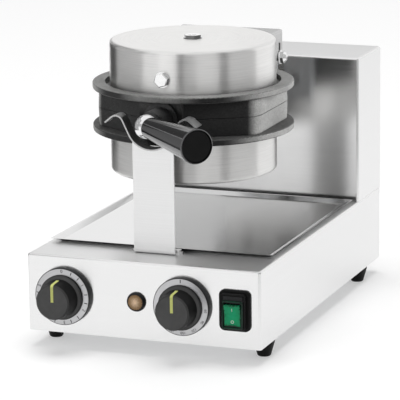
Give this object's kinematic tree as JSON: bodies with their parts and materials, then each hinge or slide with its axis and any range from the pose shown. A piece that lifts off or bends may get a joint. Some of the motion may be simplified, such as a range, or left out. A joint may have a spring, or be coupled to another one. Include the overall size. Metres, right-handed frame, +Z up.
{
  "type": "rotating bubble waffle maker",
  "caption": "Countertop bubble waffle iron: hinged cast plates in round drums that turn over on a rear spindle, with front post, tray and control base.",
  "frame": {"origin": "on the table, under the middle of the whole machine with its handle at rest", "axes": "+Z up, +X to the user's right, -Y towards the user; the control panel faces -Y"},
  "size_m": [0.25, 0.4894, 0.3029],
  "materials": {
    "stainless": "fine brushed stainless steel",
    "tray_steel": "fine brushed stainless steel",
    "drum_steel": "circular brushed stainless steel",
    "zinc_steel": "zinc-plated sheet",
    "fasteners": "bright stainless fastener",
    "ground_steel": "ground steel",
    "iron_casting": "dark coated cast iron, fine texture",
    "bush_metal": "bronze bush",
    "heater_metal": "heat-darkened tube",
    "bright_chrome": "polished",
    "black_plastic": "satin black",
    "dial_plate": "satin dial plate",
    "pointer_paint": "yellow-green line",
    "rubber_black": "matt black",
    "lens_amber": "amber lens",
    "rocker_green": "green rocker",
    "insulator": "pale insulating plastic"
  },
  "bodies": {
    "base": {"base_shell": "stainless", "bottom_plate": "zinc_steel", "feet": "rubber_black", "rear_housing": "stainless", "back_cover": "stainless", "bearing_pedestal": "iron_casting", "bushes": "bush_metal", "stop_bracket": "zinc_steel", "case_screws": "fasteners", "post": "stainless", "cradle": "stainless", "timer_bezel": "black_plastic", "timer_scale": "dial_plate", "thermostat_bezel": "black_plastic", "thermostat_scale": "dial_plate", "timer_body": "black_plastic", "thermostat_body": "black_plastic", "lamp_bezel": "black_plastic", "lamp_lens": "lens_amber", "lamp_body": "insulator", "switch_boot": "rubber_black", "switch_case": "black_plastic", "terminal_block": "insulator", "cable_gland": "black_plastic", "gland_nut": "black_plastic"},
    "lower_iron": {"spindle": "ground_steel", "spindle_screws": "fasteners", "stop_collar": "zinc_steel", "yoke": "zinc_steel", "yoke_bolts": "fasteners", "hinge_bolts": "fasteners", "lower_plate": "iron_casting", "lower_cover": "drum_steel", "lower_heater": "heater_metal", "lower_reflector": "zinc_steel", "lower_stud": "fasteners", "lower_cover_nut": "fasteners", "lower_side_bolt": "fasteners"},
    "upper_iron": {"upper_plate": "iron_casting", "upper_cover": "drum_steel", "upper_heater": "heater_metal", "upper_reflector": "zinc_steel", "upper_stud": "fasteners", "upper_cover_nut": "fasteners", "upper_side_bolt": "fasteners", "hinge_box": "stainless", "hinge_box_screws": "fasteners", "handle_boss": "iron_casting", "handle_shaft": "ground_steel", "elbow": "bright_chrome", "grip": "bright_chrome", "grip_plug": "black_plastic"},
    "timer": {"timer_knob": "black_plastic", "timer_pointer": "pointer_paint", "timer_shaft": "ground_steel"},
    "thermostat": {"thermostat_knob": "black_plastic", "thermostat_pointer": "pointer_paint", "thermostat_shaft": "ground_steel"},
    "mains_rocker": {"rocker": "rocker_green"},
    "drip_tray": {"tray": "tray_steel"}
  },
  "joints": [
    {"name": "iron_turn", "type": "hinge", "parent": "base", "child": "lower_iron", "pos_m": [0, 0.14498, 0.231], "axis": [0, -1, 0], "range_deg": [0, 180]},
    {"name": "lid_hinge", "type": "hinge", "parent": "lower_iron", "child": "upper_iron", "pos_m": [0, 0.08298, 0.264], "axis": [1, 0, 0], "range_deg": [-95, 0]},
    {"name": "timer_turn", "type": "hinge", "parent": "base", "child": "timer", "pos_m": [-0.085, -0.18202, 0.056], "axis": [0, 1, 0], "range_deg": [0, 300]},
    {"name": "thermostat_turn", "type": "hinge", "parent": "base", "child": "thermostat", "pos_m": [0.043, -0.18202, 0.056], "axis": [0, 1, 0], "range_deg": [0, 270]},
    {"name": "rocker_press", "type": "hinge", "parent": "base", "child": "mains_rocker", "pos_m": [0.0985, -0.18002, 0.0535], "axis": [-1, 0, 0], "range_deg": [0, 14]},
    {"name": "tray_lift", "type": "slide", "parent": "base", "child": "drip_tray", "axis": [0, 0, 1], "range_m": [0, 0.04]}
  ]
}
